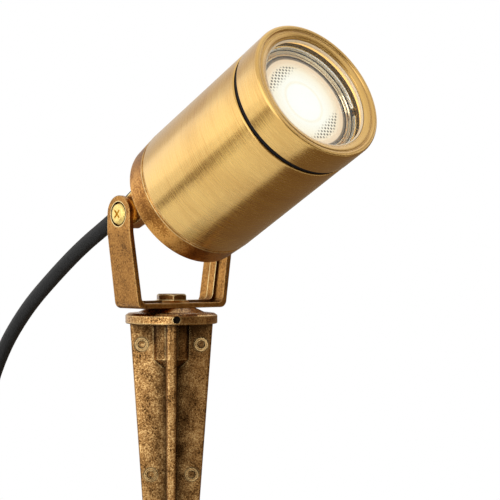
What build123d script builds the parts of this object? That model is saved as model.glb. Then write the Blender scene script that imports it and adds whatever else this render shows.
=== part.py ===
from build123d import *
import math
import os

# Garden spike spotlight in cast and turned brass, for a 50 mm twist-lock lamp.
# Frame: +Z up, ground level (underside of the spike's flange) at Z = 0, spike axis on Z,
# tilt axis along X, the head faces -Y.  All sizes in millimetres.

# ---------------------------------------------------------------- driving dimensions
PIVOT_Z = 49.2            # tilt axis above the ground
TILT = 27.3               # head axis above the horizontal, as it stands

BODY_R = 31.5             # turned body tube
BODY_BORE_R = 27.5
CAP_REAR = 12.1           # distances along the head's axis from the tilt axis
SEAM = 23.9
BODY_FRONT = 92.8
BEZEL_REAR = 94.8
HEAD_FRONT = 109.0

THREAD_R = 28.9           # male thread of the bezel, in the body's mouth
THREAD_FIT = 0.08         # radial clearance of the threads and seats
THREAD_END = 86.3
BEZEL_R = 31.6
BEZEL_BORE_R = 26.5
LIP_R = 25.6              # the bezel's clear opening
LIP_REAR = 106.4
GLASS_T = 4.0
GLASS_R = 26.3

CAP_REAR_R = 30.7
CAP_FLOOR = 16.0
CAP_BORE_R = 25.5
SPIGOT_R = 27.9           # the cap's thread in the body
SPIGOT_END = 34.0
EAR_R = 6.3               # ears that carry the head between the yoke's arms
EAR_OUT = 26.0
EAR_IN = 19.5

GLAND_H = 19.0            # gland axis above the head's axis
GLAND_FLAT = 17.0         # across flats
CORD_R = 3.7
GLAND_END = -9.0          # outer end of the gland nut along the head's axis
SLEEVE_END = -30.0        # outer end of the tapered rubber sleeve

YOKE_Z = 7.1              # underside of the yoke
YOKE_BASE_HALF = 25.15
YOKE_TOP_HALF = 30.2
YOKE_LEAN = 8.4           # degrees that the arms splay
YOKE_T = 2.4
YOKE_HALF_WIDTH_FOOT = 8.8
YOKE_HALF_WIDTH_TOP = 8.3
CORNER_OUT = 3.4          # bends of the U, and the gentler ones at its knees
CORNER_IN = 2.8
KNEE_R = 14.0
RIB_H = 1.0
RIB_HALF_WIDTH = 2.3
EDGE_R = 0.45             # rounded outer edges of the casting
PAD_R = 7.2               # round pads at the pivots
BOLT_PAD_R = 7.5
BOLT_PAD_FOOT_R = 8.4     # the pad under the bolt is a low cone

SCREW_R = 2.5             # M5 pivot screws
SCREW_HEAD_R = 4.75
COUNTERBORE_R = 5.5
COUNTERBORE_SEAT = 28.9
RUNNING_FIT = 0.06
SEAT_GAP = 0.02           # between faces that bear on each other

BOLT_R = 4.0              # M8 bolt that holds the yoke on the spike
BOLT_FLAT = 12.5
BOLT_HEAD_H = 2.9
BOLT_DEPTH = 14.0         # how far the bolt reaches under the ground level

FLANGE_R = 20.95
FLANGE_T = 4.3
SPIKE_TURN = -38.0        # direction of the front blade, from -Y towards -X
SPIKE_L = 228.0
BLADE_L = 214.0           # to where the point starts
BLADE_R_TOP = 18.9
BLADE_R_FOOT = 3.4
SPIKE_HUB_R = 8.6
SPIKE_HUB_L = 16.3
GRUB_TURN = -32.0         # direction of the grub screw's hole, from -Y towards -X
GRUB_R = 1.65
GRUB_Z = 2.3

LAMP_FRONT = 98.2
LAMP_R = 25.0
LAMP_REAR = 49.7
PIN_PITCH = 10.0
PIN_END = 43.2
PIN_SHANK_R = 1.5
LOCK_TURN = 25.0          # turn of the lamp in its holder, degrees
HOLDER_FRONT = 49.4
HOLDER_REAR = 36.5

FLOOR_Z = -SPIKE_L        # the surface under the spike's tip, where the cord's coil lies
CORD_GAP = 0.5            # free space between neighbouring turns
TIE_T = 1.0
TIE_W = 4.6
TIE_SLACK = 0.15
COIL_PITCH = 2 * CORD_R + CORD_GAP
COIL_R = 49.0             # outermost turn, at the middle of the cord
COIL_X = -27.0
COIL_Y = 103.0
COIL_Z = FLOOR_Z + TIE_T + TIE_SLACK + CORD_R

# ---------------------------------------------------------------- helpers
tilt = math.radians(TILT)
head_place = Pos(0, 0, PIVOT_Z) * Rot(90 - TILT, 0, 0)
gland_place = Pos(0, GLAND_H, 0)


def head_point(along, above, side=0.0):
    """World point from a distance along the head's axis and a height above it."""
    return Vector(
        side,
        above * math.sin(tilt) - along * math.cos(tilt),
        PIVOT_Z + above * math.cos(tilt) + along * math.sin(tilt),
    )


def turned(*outline):
    """Solid of revolution about Z; the outline is (radius, height) points."""
    return revolve(make_face(Polyline(*[(r, 0, z) for r, z in outline], close=True)), Axis.Z)


def disc(radius, low, high):
    """Cylinder on Z from low to high."""
    return Pos(0, 0, low) * extrude(Circle(radius), high - low)


def hexagon(flats, low, high):
    """Hexagonal prism on Z, by its width across flats."""
    return Pos(0, 0, low) * extrude(RegularPolygon(flats / 2 / math.cos(math.pi / 6), 6), high - low)


def block(x, y, z, radius=0.0):
    """Box between pairs of limits, with its upright edges rounded."""
    face = Rectangle(x[1] - x[0], y[1] - y[0])
    if radius:
        face = fillet(face.vertices(), radius)
    return Pos(sum(x) / 2, sum(y) / 2, z[0]) * extrude(face, z[1] - z[0])


def run_radii(points, share=0.45):
    """Largest arc that each corner of a route allows."""
    radii = []
    for before, here, after in zip(points, points[1:], points[2:]):
        first = here - before
        second = after - here
        half_turn = math.radians(first.get_angle(second)) / 2
        radii.append(share * min(first.length, second.length) / math.tan(half_turn))
    return radii


def tube(points, radius):
    """Round wire along straight runs and tangent arcs."""
    points = [Vector(p) for p in points]
    path = FilletPolyline(*points, radius=run_radii(points)) if len(points) > 2 else Line(*points)
    section = Plane(origin=points[0], z_dir=points[1] - points[0]) * Circle(radius)
    return sweep(section, path=path)


def save(name, shape):
    """Write one piece."""
    export_step(shape, f"parts/{name}.step")


def grouped(solids):
    """Identical pieces as one node of separate solids."""
    return Compound(children=[s for shape in solids for s in shape.solids()])


# ---------------------------------------------------------------- the ground spike
def blade_pair(turn):
    """Two opposite blades of the cross, tapering to the point."""
    def section(z, reach, edge, root):
        outline = Polyline(
            (-reach, -edge / 2), (0, -root / 2), (reach, -edge / 2),
            (reach, edge / 2), (0, root / 2), (-reach, edge / 2), close=True,
        )
        face = make_face(outline)
        ends = [v for v in face.vertices() if abs(v.X) > reach / 2]
        return Pos(0, 0, z) * fillet(ends, edge * 0.3)

    top = section(0.5, BLADE_R_TOP, 4.2, 6.4)
    foot = section(-BLADE_L, BLADE_R_FOOT, 2.2, 3.4)
    point = section(-SPIKE_L, 0.7, 0.5, 0.7)
    pair = loft([top, foot], ruled=True) + loft([foot, point], ruled=True)
    return Rot(0, 0, turn) * pair


def make_spike():
    flange = turned(
        (0, 0), (FLANGE_R - 0.4, 0), (FLANGE_R, 0.4), (FLANGE_R, FLANGE_T - 0.6),
        (FLANGE_R - 0.7, FLANGE_T), (19.4, 4.8), (15.0, 5.2), (11.0, YOKE_Z - 0.05), (0, YOKE_Z - 0.05),
    )
    hub = turned(
        (0, 0.5), (SPIKE_HUB_R, 0.5), (SPIKE_HUB_R - 0.3, -SPIKE_HUB_L),
        (3.8, -SPIKE_HUB_L - 4.6), (0, -SPIKE_HUB_L - 4.6),
    )
    spike = flange + hub
    for turn in (0, 90):
        spike += blade_pair(SPIKE_TURN + turn)
    # cast rings on both faces of the side blades
    for reach, z, half in ((13.5, -9.5, 2.95), (9.3, -68.6, 2.55)):
        for side in (-1, 1):
            ring = extrude(Plane.XZ * (Circle(3.0) - Circle(1.9)), half, both=True)
            spike += Rot(0, 0, SPIKE_TURN) * Pos(side * reach, 0, z) * ring
    spike -= disc(BOLT_R + 0.02, -BOLT_DEPTH - 1.5, YOKE_Z)
    return spike - grub_axis() * disc(GRUB_R + 0.02, 0, FLANGE_R + 1)


def grub_axis():
    """Frame whose +Z runs out along the grub screw's hole."""
    turn = math.radians(GRUB_TURN)
    return Plane(origin=(0, 0, GRUB_Z), z_dir=(math.sin(turn), -math.cos(turn), 0)).location


def make_grub_screw():
    screw = disc(GRUB_R, BOLT_R + 0.05, FLANGE_R - 2.6)
    screw -= hexagon(2.0, FLANGE_R - 4.6, FLANGE_R - 2)
    return grub_axis() * screw


def make_hex_bolt():
    seat = YOKE_Z + YOKE_T + RIB_H + SEAT_GAP
    head = hexagon(BOLT_FLAT, seat, seat + BOLT_HEAD_H)
    crown = turned(
        (0, seat), (7.3, seat), (7.3, seat + BOLT_HEAD_H - 0.75),
        (5.9, seat + BOLT_HEAD_H), (0, seat + BOLT_HEAD_H),
    )
    return (head & crown) + disc(BOLT_R, -BOLT_DEPTH, seat)


# ---------------------------------------------------------------- the yoke
def yoke_outline(inset, top):
    """The U seen from the front, moved inwards by inset, as a rounded open line."""
    lean = math.radians(YOKE_LEAN)
    base_z = YOKE_Z + inset
    base_x = YOKE_BASE_HALF + inset * math.tan(lean) - inset / math.cos(lean)
    knee_x = YOKE_TOP_HALF - inset
    knee_z = base_z + (knee_x - base_x) / math.tan(lean)
    half = [(base_x, base_z), (knee_x, knee_z), (knee_x, top)]
    points = [(-x, 0, z) for x, z in reversed(half)] + [(x, 0, z) for x, z in half]
    corner = CORNER_OUT if inset == 0 else CORNER_IN
    return FilletPolyline(*points, radius=[KNEE_R, corner, corner, KNEE_R])


def yoke_band(outer, inner, top, half_width):
    """Solid between two insets of the U, centred on the spike's axis."""
    out_line, in_line = yoke_outline(outer, top), yoke_outline(inner, top)
    ends = [Line(out_line @ end, in_line @ end) for end in (0, 1)]
    face = make_face([*out_line.edges(), *in_line.edges(), *ends])
    return extrude(face, half_width, both=True)


def make_yoke():
    top = PIVOT_Z + YOKE_HALF_WIDTH_TOP
    side = make_face([
        Line((-YOKE_HALF_WIDTH_FOOT, YOKE_Z), (YOKE_HALF_WIDTH_FOOT, YOKE_Z)),
        Line((YOKE_HALF_WIDTH_FOOT, YOKE_Z), (YOKE_HALF_WIDTH_TOP, PIVOT_Z)),
        ThreePointArc((YOKE_HALF_WIDTH_TOP, PIVOT_Z), (0, top), (-YOKE_HALF_WIDTH_TOP, PIVOT_Z)),
        Line((-YOKE_HALF_WIDTH_TOP, PIVOT_Z), (-YOKE_HALF_WIDTH_FOOT, YOKE_Z)),
    ])
    arms = yoke_band(0, YOKE_T, top + 1, YOKE_HALF_WIDTH_FOOT + 1)
    yoke = arms & extrude(Plane.YZ * side, YOKE_TOP_HALF + 5, both=True)
    yoke = fillet(yoke.edges(), EDGE_R)
    yoke += yoke_band(YOKE_T - 0.2, YOKE_T + RIB_H, PIVOT_Z - PAD_R + 1, RIB_HALF_WIDTH)
    yoke += turned(
        (0, YOKE_Z + YOKE_T - 0.2), (BOLT_PAD_FOOT_R, YOKE_Z + YOKE_T - 0.2),
        (BOLT_PAD_R, YOKE_Z + YOKE_T + RIB_H), (0, YOKE_Z + YOKE_T + RIB_H),
    )
    yoke -= disc(BOLT_R + RUNNING_FIT, YOKE_Z - 1, YOKE_Z + YOKE_T + RIB_H + 1)
    for side_turn in (90, -90):
        across = Pos(0, 0, PIVOT_Z) * Rot(0, side_turn, 0)
        pad_face = YOKE_TOP_HALF - YOKE_T - RIB_H
        yoke += across * disc(PAD_R, pad_face, YOKE_TOP_HALF - YOKE_T + 0.2)
        yoke -= across * disc(SCREW_R + RUNNING_FIT, pad_face - 1, YOKE_TOP_HALF + 1)
        yoke -= across * disc(COUNTERBORE_R, COUNTERBORE_SEAT, YOKE_TOP_HALF + 1)
    return yoke


# ---------------------------------------------------------------- the head's rear cap
def make_rear_cap():
    """Cast cup with a threaded spigot, two ears and bosses inside."""
    cap = turned(
        (0, CAP_REAR), (CAP_REAR_R - 0.9, CAP_REAR), (CAP_REAR_R, CAP_REAR + 0.9),
        (BODY_R - 0.15, SEAM - 0.7), (BODY_R - 0.85, SEAM), (SPIGOT_R, SEAM),
        (SPIGOT_R, 25.6), (SPIGOT_R - 1.5, 25.6), (SPIGOT_R - 1.5, 27.6), (SPIGOT_R, 27.6),
        (SPIGOT_R, SPIGOT_END), (CAP_BORE_R, SPIGOT_END), (CAP_BORE_R, CAP_FLOOR + 2),
        (CAP_BORE_R - 2, CAP_FLOOR), (0, CAP_FLOOR),
    )
    ear = make_face([
        Line((CAP_REAR + 1, -7.4), (0, -EAR_R)),
        ThreePointArc((0, -EAR_R), (-EAR_R, 0), (0, EAR_R)),
        Line((0, EAR_R), (CAP_REAR + 1, 7.4)),
        Line((CAP_REAR + 1, 7.4), (CAP_REAR + 1, -7.4)),
    ])
    # the ear's outline stands in the plane across X: its first axis is the head's
    stand = Plane(origin=(0, 0, 0), x_dir=(0, 0, 1), z_dir=(1, 0, 0))
    for low in (EAR_IN, -EAR_OUT):
        cap += Pos(low, 0, 0) * extrude(stand * ear, EAR_OUT - EAR_IN)
    cap -= Rot(0, 90, 0) * disc(SCREW_R + 0.02, -EAR_OUT - 1, EAR_OUT + 1)
    for side in (-1, 1):
        cap += Pos(side * 20.5, 0, 0) * disc(3.4, CAP_FLOOR - 0.5, 20.0)
        cap -= Pos(side * 20.5, 0, 0) * disc(1.22, 14.0, 20.5)
    cap += Pos(0, -19.5, 0) * disc(4.0, CAP_FLOOR - 0.5, 18.0)
    cap -= Pos(0, -19.5, 0) * disc(1.66, 13.8, 18.5)
    return cap - gland_place * disc(7.0, CAP_REAR - 1, CAP_FLOOR + 3)


def make_pivot_screws():
    """Two pan-head cross-recess screws through the yoke's arms into the ears."""
    face = COUNTERBORE_SEAT + 2.0
    screw = turned(
        (0, EAR_IN + 0.4), (SCREW_R - 0.4, EAR_IN + 0.4), (SCREW_R, EAR_IN + 0.8),
        (SCREW_R, COUNTERBORE_SEAT + SEAT_GAP), (SCREW_HEAD_R, COUNTERBORE_SEAT + SEAT_GAP),
        (SCREW_HEAD_R, face - 0.9), (SCREW_HEAD_R - 0.5, face - 0.3), (SCREW_HEAD_R - 1.6, face), (0, face),
    )
    for turn in (45, 135):
        screw -= Rot(0, 0, turn) * Pos(0, 0, face - 1.1) * extrude(SlotOverall(5.2, 1.0), 2)
    return [Pos(0, 0, PIVOT_Z) * Rot(0, turn, 0) * screw for turn in (90, -90)]


def make_pivot_washers():
    """Plain washers between the ears and the yoke's pads."""
    pad_face = YOKE_TOP_HALF - YOKE_T - RIB_H
    washer = disc(PAD_R - 0.2, EAR_OUT + SEAT_GAP, pad_face - SEAT_GAP)
    washer -= disc(SCREW_R + 0.1, EAR_OUT, pad_face)
    return [Pos(0, 0, PIVOT_Z) * Rot(0, turn, 0) * washer for turn in (90, -90)]


# ---------------------------------------------------------------- body, bezel and glazing
def make_body_tube():
    mouth_r = THREAD_R + THREAD_FIT
    return turned(
        (SPIGOT_R + THREAD_FIT, SEAM), (BODY_R - 0.7, SEAM), (BODY_R, SEAM + 0.5),
        (BODY_R, BODY_FRONT - 0.45), (BODY_R - 0.45, BODY_FRONT), (mouth_r, BODY_FRONT),
        (mouth_r, THREAD_END - 1.2), (BODY_BORE_R, THREAD_END - 2.6), (BODY_BORE_R, SPIGOT_END + 1.6),
        (SPIGOT_R + THREAD_FIT, SPIGOT_END + 1.2),
    )


def rounded_ring(r_in, r_out, low, high, radius):
    """Rubber ring of rounded rectangular section."""
    section = Rectangle(r_out - r_in, high - low)
    section = fillet(section.vertices(), radius)
    centre = Location(Plane.XZ) * Pos((r_in + r_out) / 2, (low + high) / 2)
    return revolve(centre * section, Axis.Z)


def make_bezel_ring():
    """Bezel: threaded skirt, groove for the snap ring, and a stepped, rounded front."""
    groove_r = BEZEL_BORE_R + 1.0
    return turned(
        (BEZEL_BORE_R, THREAD_END), (THREAD_R - 0.5, THREAD_END), (THREAD_R, THREAD_END + 0.5),
        (THREAD_R, BODY_FRONT - 0.6), (THREAD_R - 0.7, BODY_FRONT), (THREAD_R - 0.7, BEZEL_REAR),
        (BEZEL_R - 0.45, BEZEL_REAR), (BEZEL_R, BEZEL_REAR + 0.45),
        (BEZEL_R, HEAD_FRONT - 0.9), (BEZEL_R - 0.25, HEAD_FRONT - 0.3), (BEZEL_R - 0.8, HEAD_FRONT),
        (29.8, HEAD_FRONT), (29.35, HEAD_FRONT - 0.3), (29.0, 108.15), (28.65, 108.15),
        (28.4, 108.55), (27.8, 108.55), (27.5, 108.15), (LIP_R + 0.7, 107.7),
        (LIP_R + 0.45, 107.4), (LIP_R, 107.2), (LIP_R, LIP_REAR), (BEZEL_BORE_R, LIP_REAR),
        (BEZEL_BORE_R, 99.75), (groove_r, 99.75), (groove_r, 98.35), (BEZEL_BORE_R, 98.35),
    )


def make_glass_gasket():
    """Clear silicone gasket between the lip and the glass."""
    front = LIP_REAR - 0.05
    return turned(
        (24.3, front - 0.5), (GLASS_R, front - 0.5), (GLASS_R, front),
        (LIP_R - 0.1, front), (LIP_R - 0.1, 107.0), (24.7, 107.0), (24.3, 106.6),
    )


def make_glass_disc():
    front = LIP_REAR - 0.6
    return turned(
        (0, front - GLASS_T), (GLASS_R - 0.4, front - GLASS_T), (GLASS_R, front - GLASS_T + 0.4),
        (GLASS_R, front - 0.4), (GLASS_R - 0.4, front), (0, front),
    )


def make_snap_ring():
    """Sprung C-shaped retaining ring; its gap lies where it can be pinched."""
    ring = disc(BEZEL_BORE_R + 0.8, 98.45, 99.65) - disc(24.5, 98, 100)
    return ring - Rot(0, 0, -22) * block((20, 30), (-1.6, 1.6), (98, 100))


# ---------------------------------------------------------------- gland
def make_gland_body():
    body = hexagon(GLAND_FLAT, 6.6, CAP_REAR - 1.0)
    body += disc(6.95, CAP_REAR - 1.0, 18.5)
    body += disc(7.2, -1.0, 6.6)
    return body - disc(CORD_R + 0.15, 7, 19) - disc(5.6, -2, 7.6)


def make_gland_nut():
    nut = turned(
        (0, GLAND_END), (5.4, GLAND_END), (7.4, GLAND_END + 1.6), (8.45, GLAND_END + 5),
        (9.9, GLAND_END + 5.6), (9.9, 5.6), (9.4, 6.4), (0, 6.4),
    )
    skirt = hexagon(GLAND_FLAT, GLAND_END + 4.5, 6.4) + disc(8.5, GLAND_END, GLAND_END + 5)
    bore = turned(
        (0, GLAND_END - 1), (CORD_R + 0.15, GLAND_END - 1), (CORD_R + 0.15, GLAND_END + 3),
        (5.6, -2.2), (7.28, -2.2), (7.28, 7), (0, 7),
    )
    return (nut & skirt) - bore


def make_gland_seal():
    return disc(5.5, -1.9, 7.4) - disc(CORD_R + SEAT_GAP, -3, 8)


def make_gland_sleeve():
    """Tapered rubber sleeve on the cord where it leaves the nut."""
    sleeve = turned(
        (CORD_R + SEAT_GAP, SLEEVE_END), (4.1, SLEEVE_END), (4.3, SLEEVE_END + 0.5),
        (5.3, GLAND_END - SEAT_GAP - 0.4), (4.9, GLAND_END - SEAT_GAP),
        (CORD_R + SEAT_GAP, GLAND_END - SEAT_GAP),
    )
    for groove in range(1, 5):
        low = GLAND_END - 3.2 * groove
        sleeve -= disc(6, low, low + 0.9) - disc(4.35, low - 1, low + 2)
    return sleeve


# ---------------------------------------------------------------- inside the head
def make_lampholder():
    """Ceramic holder with two twist-lock slots."""
    holder = block((-17, 17), (-9.5, 9.5), (HOLDER_REAR, HOLDER_FRONT), 4)
    holder = chamfer(holder.edges().group_by(Axis.Z)[-1], 0.8)
    channel_floor = PIN_END - 1.2
    lip_under = HOLDER_FRONT - 2.6
    reach = PIN_PITCH / 2
    for half in (0, 180):
        entry = Rot(0, 0, half - LOCK_TURN) * Pos(reach, 0, 0)
        lock = Rot(0, 0, half) * Pos(reach, 0, 0)
        for width, low, high in ((1.9, channel_floor, HOLDER_FRONT + 1), (2.85, channel_floor, lip_under)):
            band = make_face(Polyline(
                (reach - width, 0, low), (reach + width, 0, low),
                (reach + width, 0, high), (reach - width, 0, high), close=True,
            ))
            holder -= Rot(0, 0, half - LOCK_TURN) * revolve(band, Axis.Z, LOCK_TURN)
            holder -= lock * disc(width, low, high)
        holder -= entry * disc(2.85, channel_floor, HOLDER_FRONT + 1)
    for side in (-1, 1):
        holder -= Pos(side * 13, 0, 0) * disc(1.7, HOLDER_REAR - 1, HOLDER_FRONT + 1)
        holder -= Pos(side * 13, 0, 0) * disc(3.1, HOLDER_FRONT - 3, HOLDER_FRONT + 1)
    return holder


def make_contact_clips():
    """Sprung bronze contacts under the lamp's pins."""
    clips = []
    for half in (0, 180):
        strip = Rot(0, 0, half) * Pos(PIN_PITCH / 2, 0, 0) * disc(2.3, PIN_END - 1.18, PIN_END - 0.03)
        clips.append(strip)
    return clips


def make_holder_bracket():
    """Bent steel strip that carries the lampholder above the cap's bosses."""
    top = block((-18, 18), (-5.5, 5.5), (HOLDER_REAR - 1.25, HOLDER_REAR - 0.05))
    legs = [block((min(s * 16.8, s * 18), max(s * 16.8, s * 18)), (-5.5, 5.5), (20.05, HOLDER_REAR - 0.1))
            for s in (-1, 1)]
    feet = [block((min(s * 17, s * 23.6), max(s * 17, s * 23.6)), (-5.5, 5.5), (20.05, 21.25))
            for s in (-1, 1)]
    strip = top + legs + feet
    for side in (-1, 1):
        strip -= Pos(side * 20.5, 0, 0) * disc(1.6, 19, 22)
        strip -= Pos(side * 13, 0, 0) * disc(1.27, HOLDER_REAR - 2, HOLDER_REAR)
    return strip


def pan_screw(radius, head_radius, head_height, seat, end):
    """Pan-head screw on Z: head above seat, shank down to end, with a driver slot."""
    top = seat + head_height
    screw = turned(
        (0, end), (radius, end), (radius, seat), (head_radius, seat),
        (head_radius, top - 0.5), (head_radius - 0.6, top), (0, top),
    )
    return screw - Pos(0, 0, top - 0.7) * extrude(Rectangle(head_radius * 3, 0.7), 1)


def make_terminal_block():
    """Three-pole connector block."""
    body = block((-14, 14), (-14, -3), (CAP_FLOOR + SEAT_GAP, 30), 0.8)
    for pole in (-1, 0, 1):
        for seat in (-11.4, -5.6):
            body -= Pos(pole * 8.5, seat, 0) * disc(1.75, 26, 31)
        wire_way = Pos(pole * 8.5, -8.5, 22) * Rot(90, 0, 0) * disc(1.45, -7, 7)
        body -= wire_way
    return body


def make_terminal_screws():
    screws = []
    for pole in (-1, 0, 1):
        for seat in (-11.4, -5.6):
            screw = disc(1.7, 26.05, 28.6) - block((-2, 2), (-0.3, 0.3), (28.0, 29))
            screws.append(Pos(pole * 8.5, seat, 0) * screw)
    return screws


def make_holder_leads():
    """Two sleeved leads from the lampholder to the outer poles."""
    leads = []
    for side in (-1, 1):
        route = [
            (side * 7.5, -7.6, HOLDER_REAR - 0.05), (side * 7.5, -7.6, 33.5), (side * 8.0, -17.2, 30.5),
            (side * 8.5, -18.6, 23.5), (side * 8.5, -16.6, 22.0), (side * 8.5, -12.5, 22.0),
        ]
        leads.append(tube(route, 1.1))
    return leads


def make_inner_cores():
    """The cord's three cores inside the head, from the cut sheath to the block."""
    cores = []
    for pole in (-1, 0, 1):
        start = GLAND_H + 1.5 - 2.3 * abs(pole)
        route = [
            (pole * 1.9, start, 23.0), (pole * 1.9, start, 27.0), (pole * 7.0, 8.5, 30.0),
            (pole * 8.5, 3.5, 23.6), (pole * 8.5, -0.5, 22.0), (pole * 8.5, -5.0, 22.0),
        ]
        cores.append(tube(route, 1.1))
    return cores


def make_earth_lead():
    """Earth lead from the middle pole to its ring tag on the cap."""
    tail = block((2, 7), (-1.6, 1.6), (18.02, 18.8), 0.6)
    tag = Pos(0, -19.5, 0) * (disc(3.6, 18.02, 18.8) + tail - disc(1.75, 17, 20))
    route = [(0, -13.0, 22.0), (0.5, -17.0, 22.8), (5.2, -19.0, 22.4), (5.4, -19.5, 18.5)]
    return tag + tube(route, 1.0)


# ---------------------------------------------------------------- lamp
def make_lamp_housing():
    """Reflector-shaped lamp body with a cavity for the light board."""
    outer = make_face([
        Polyline((21.6, 0, LAMP_FRONT - 3), (LAMP_R, 0, LAMP_FRONT - 3), (LAMP_R, 0, LAMP_FRONT - 5),
                 (LAMP_R - 0.8, 0, LAMP_FRONT - 6)),
        ThreePointArc((LAMP_R - 0.8, 0, LAMP_FRONT - 6), (20.6, 0, 77.5), (14.2, 0, 65)),
        Polyline((14.2, 0, 65), (0, 0, 65), (0, 0, 87.5), (20.0, 0, 87.5), (21.6, 0, LAMP_FRONT - 3)),
    ])
    housing = revolve(outer, Axis.Z)
    for turn in range(0, 360, 30):
        slot = block((16.5, 26), (-1.1, 1.1), (66, 84))
        housing -= Rot(0, 0, turn) * slot
    return housing


def make_lamp_front_ring():
    """Polished stepped ring round the lamp's lens."""
    return turned(
        (22.0, LAMP_FRONT - 2.95), (LAMP_R, LAMP_FRONT - 2.95), (LAMP_R, LAMP_FRONT - 0.5),
        (LAMP_R - 0.5, LAMP_FRONT), (24.1, LAMP_FRONT), (23.8, LAMP_FRONT - 0.6),
        (23.0, LAMP_FRONT - 0.6), (22.7, LAMP_FRONT - 0.2), (22.2, LAMP_FRONT - 0.2),
        (22.0, LAMP_FRONT - 0.5),
    )


def make_lamp_lens():
    """Moulded optic: flat rim and a shallow dished face."""
    rim = LAMP_FRONT - 0.9
    return turned(
        (0, 94.2), (21.9, 95.3), (21.9, rim), (18.6, rim), (18.2, rim - 0.4),
        (12.0, rim - 0.2), (0, rim - 0.1),
    )


def make_lamp_base():
    """Moulded base with two holes that hold the pins' shanks."""
    base = turned(
        (0, LAMP_REAR), (11.8, LAMP_REAR), (12.6, LAMP_REAR + 0.8), (12.6, 57.0),
        (14.2, 60.0), (14.2, 64.98), (0, 64.98),
    )
    for side in (-1, 1):
        shank_hole = disc(PIN_SHANK_R + SEAT_GAP, LAMP_REAR - 1, LAMP_REAR + 2.02)
        base -= Pos(side * PIN_PITCH / 2, 0, 0) * shank_hole
    return base


def make_lamp_pins():
    """Two mushroom pins that lock in the holder's slots."""
    pin = turned(
        (0, PIN_END), (2.2, PIN_END), (2.4, PIN_END + 0.3), (2.4, PIN_END + 2.3),
        (PIN_SHANK_R, PIN_END + 2.7), (PIN_SHANK_R, LAMP_REAR + 2), (0, LAMP_REAR + 2),
    )
    return [Pos(side * PIN_PITCH / 2, 0, 0) * pin for side in (-1, 1)]


# ---------------------------------------------------------------- cord
def cord_route():
    """Middle of the free cord, from the sleeve's mouth to the start of the coil."""
    return [
        head_point(SLEEVE_END, GLAND_H),
        head_point(SLEEVE_END - 16, GLAND_H),
        Vector(0.4, 69.5, 35.6),
        Vector(1.0, 92.0, 22.7),
        Vector(3.0, 124.0, 3.2),
        Vector(6.0, 153.0, -21.3),
        Vector(10.0, 176.0, -53.8),
        Vector(14.5, 188.0, -93.8),
        Vector(18.5, 190.0, -134.8),
        Vector(20.5, 185.0, -172.8),
        Vector(22.0, 166.0, -204.8),
        Vector(22.0, 134.0, COIL_Z),
        Vector(COIL_X + COIL_R, COIL_Y, COIL_Z),
    ]


def coil_edges():
    """Two turns spiral in on the floor, half a turn climbs, and the rest spirals out on top."""
    step = COIL_PITCH / 2

    def half_turn(radius, start_side, centre, z):
        reach = centre + start_side * radius
        far = centre - start_side * radius
        return ThreePointArc(
            (COIL_X + reach, COIL_Y, z), (COIL_X + centre, COIL_Y - start_side * radius, z),
            (COIL_X + far, COIL_Y, z),
        )

    edges = [half_turn(COIL_R - k * step, (-1) ** k, -step * (k % 2), COIL_Z) for k in range(4)]
    inner = COIL_R - 4 * step
    mid = (COIL_X, COIL_Y - math.hypot(inner, COIL_PITCH / 2), COIL_Z + COIL_PITCH / 2)
    first = TangentArc((COIL_X + inner, COIL_Y, COIL_Z), mid, tangent=(0, -1, 0))
    edges += [first, TangentArc(mid, (COIL_X - inner, COIL_Y, COIL_Z + COIL_PITCH), tangent=first % 1)]
    top = COIL_Z + COIL_PITCH
    edges += [half_turn(inner + k * step, (-1) ** k, step * (k % 2), top) for k in (1, 2, 3)]
    quarter = math.radians(45)
    edges.append(ThreePointArc(
        (COIL_X + COIL_R, COIL_Y, top),
        (COIL_X + COIL_R * math.cos(quarter), COIL_Y - COIL_R * math.sin(quarter), top),
        (COIL_X, COIL_Y - COIL_R, top),
    ))
    return edges


def coil_gap(edges):
    """Least free space between turns, measured on points a few millimetres apart."""
    wire = Wire([e.edge() for e in edges])
    count = int(wire.length / 4)
    points = [wire @ (i / count) for i in range(count + 1)]
    apart = int(math.pi * 30 / 4)
    nearest = min(
        (points[i] - points[j]).length
        for i in range(count + 1) for j in range(i + apart, count + 1)
    )
    return wire, nearest - 2 * CORD_R


def make_cord_coil():
    wire, gap = coil_gap(coil_edges())
    print("coil: length", round(wire.length, 1), "least gap", round(gap, 2))
    section = Plane(origin=wire @ 0, z_dir=wire % 0) * Circle(CORD_R)
    coil = sweep(section, path=wire)
    print("coil: volume over section x length", round(coil.volume / (math.pi * CORD_R ** 2 * wire.length), 4))
    return coil, wire


def make_cord_tube():
    route = cord_route()
    radii = run_radii(route)
    print("cord radii", [round(r, 1) for r in radii], "at least", 5 * 2 * CORD_R)
    path = FilletPolyline(*route, radius=radii)
    cord = sweep(Plane(origin=route[0], z_dir=route[1] - route[0]) * Circle(CORD_R), path=path)
    length = sum(e.length for e in path.edges())
    print("cord tube: length", round(length, 1),
          "volume over section x length", round(cord.volume / (math.pi * CORD_R ** 2 * length), 4))
    return cord, length


def make_cord_cores():
    """Three cores that show past the cut sheath, each with a bared copper tip."""
    top = COIL_Z + COIL_PITCH
    cores = []
    for turn in (90, 210, 330):
        side = 1.75 * math.cos(math.radians(turn))
        lift = 1.75 * math.sin(math.radians(turn))
        radius = COIL_R + side
        for thick, start, end in ((1.3, 90, 118), (0.75, 118, 128)):
            points = [
                (COIL_X + radius * math.cos(v), COIL_Y + radius * math.sin(v), top + lift)
                for v in (math.radians(-a) for a in (start, (start + end) / 2, end))
            ]
            arc = ThreePointArc(*points)
            section = Plane(origin=arc @ 0, z_dir=arc % 0) * Circle(thick)
            if thick > 1:
                core = sweep(section, path=arc)
            else:
                core += sweep(section, path=arc)
        cores.append(core)
    return cores


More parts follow.
